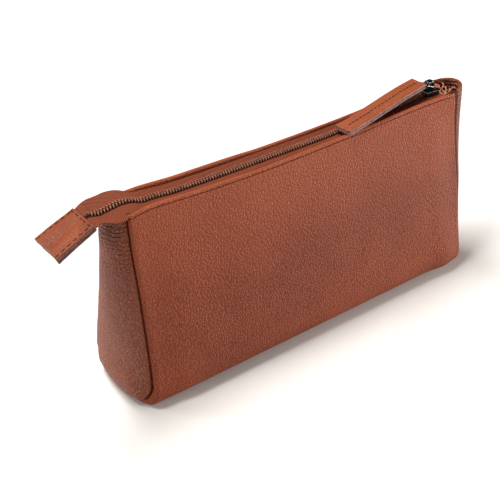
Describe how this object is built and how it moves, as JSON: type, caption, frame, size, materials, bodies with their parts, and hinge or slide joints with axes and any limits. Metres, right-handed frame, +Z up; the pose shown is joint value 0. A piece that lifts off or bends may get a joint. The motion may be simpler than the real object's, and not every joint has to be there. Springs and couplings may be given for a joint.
{
  "type": "toiletry bag",
  "caption": "Wedge-shaped leather zip pouch, narrow at the top and wide at the rounded foot, with bowed end gussets, a leather zip pull and a folded end tab.",
  "frame": {"origin": "middle of the base, on the surface the bag stands on", "axes": "+X along the zip towards its closed end with the slider, -Y the front wall, +Z up"},
  "size_m": [0.285, 0.065, 0.1277],
  "materials": {
    "leather": "cognac brown, pebble grain, soft satin",
    "pull_leather": "cognac brown with painted edges",
    "lining": "plain woven brown cotton",
    "zip_tape": "woven tape in the colour of the leather",
    "zip_coil": "brown nylon coil",
    "thread": "dark brown sewing thread",
    "black_metal": "black lacquered, glossy",
    "spring_steel": "plain spring steel"
  },
  "bodies": {
    "bag": {"body_panel": "leather", "left_gusset": "leather", "right_gusset": "leather", "body_lining": "lining", "left_gusset_lining": "lining", "right_gusset_lining": "lining", "top_stops": "black_metal", "front_hem_stitching": "thread", "front_tape_margin": "zip_tape", "front_tape_tail": "zip_tape", "front_coil_tail": "zip_coil", "front_tape_head": "zip_tape", "front_coil_head": "zip_coil", "back_hem_stitching": "thread", "back_tape_margin": "zip_tape", "back_tape_tail": "zip_tape", "back_coil_tail": "zip_coil", "back_tape_head": "zip_tape", "back_coil_head": "zip_coil"},
    "front_zip_half": {"front_zip_tape": "zip_tape", "front_coil": "zip_coil"},
    "back_zip_half": {"back_zip_tape": "zip_tape", "back_coil": "zip_coil"},
    "slider": {"slider_body": "black_metal", "slider_crown": "black_metal", "lock_spring": "spring_steel"},
    "puller": {"puller_link": "black_metal", "pull_upper_ply": "pull_leather", "pull_lower_ply": "pull_leather", "pull_stitching": "thread"},
    "zip_end_tab": {"end_tab": "leather", "tab_tape_ends": "zip_tape", "tab_stitching": "thread"}
  },
  "joints": [
    {"name": "slider_slide", "type": "slide", "parent": "bag", "child": "slider", "axis": [-1, 0, 0], "range_m": [0, 0.197], "deforming": ["front_coil", "front_coil_tail", "front_coil_head", "back_coil", "back_coil_tail", "back_coil_head"]},
    {"name": "puller_swing", "type": "hinge", "parent": "slider", "child": "puller", "pos_m": [0.105, 0, 0.123], "axis": [0, 1, 0], "range_deg": [0, 155]},
    {"name": "front_zip_fold", "type": "hinge", "parent": "bag", "child": "front_zip_half", "pos_m": [0, -0.0065, 0.1153], "axis": [-1, 0, 0], "range_deg": [0, 85]},
    {"name": "back_zip_fold", "type": "hinge", "parent": "bag", "child": "back_zip_half", "pos_m": [0, 0.0065, 0.1153], "axis": [1, 0, 0], "range_deg": [0, 85]},
    {"name": "end_tab_flex", "type": "hinge", "parent": "bag", "child": "zip_end_tab", "pos_m": [-0.131, 0, 0.1182], "axis": [0, -1, 0], "range_deg": [-18, 20]}
  ]
}
